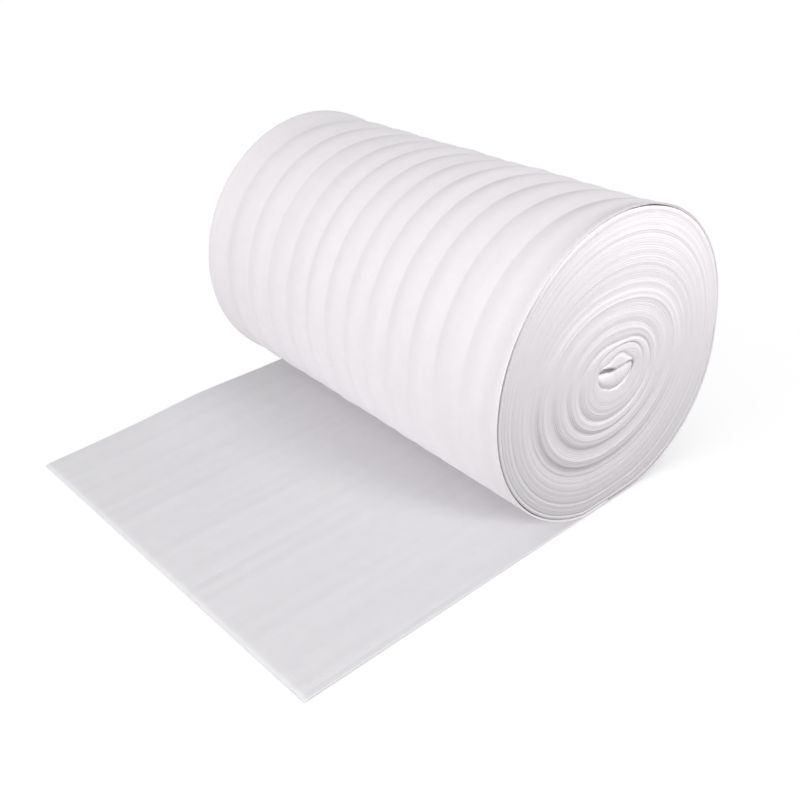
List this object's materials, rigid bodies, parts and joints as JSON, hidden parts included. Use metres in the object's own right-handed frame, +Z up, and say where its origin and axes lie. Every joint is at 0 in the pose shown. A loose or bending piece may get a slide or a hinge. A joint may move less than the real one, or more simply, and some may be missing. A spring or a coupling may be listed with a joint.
{
  "type": "foam wrap roll",
  "caption": "Roll of soft white foam wrapping sheet, wound without a core, lying on its own laid-out end.",
  "frame": {"origin": "centre of the whole object's footprint, on the floor", "axes": "+X along the roll towards its fuller end, -Y the way the end of the sheet is laid out, +Z up"},
  "size_m": [1.0694, 1.2301, 0.7099],
  "materials": {
    "foam": "soft matte closed-cell polyethylene foam, white with a faint cool tint"
  },
  "bodies": {
    "root": {"foam_roll": "foam"}
  },
  "joints": []
}
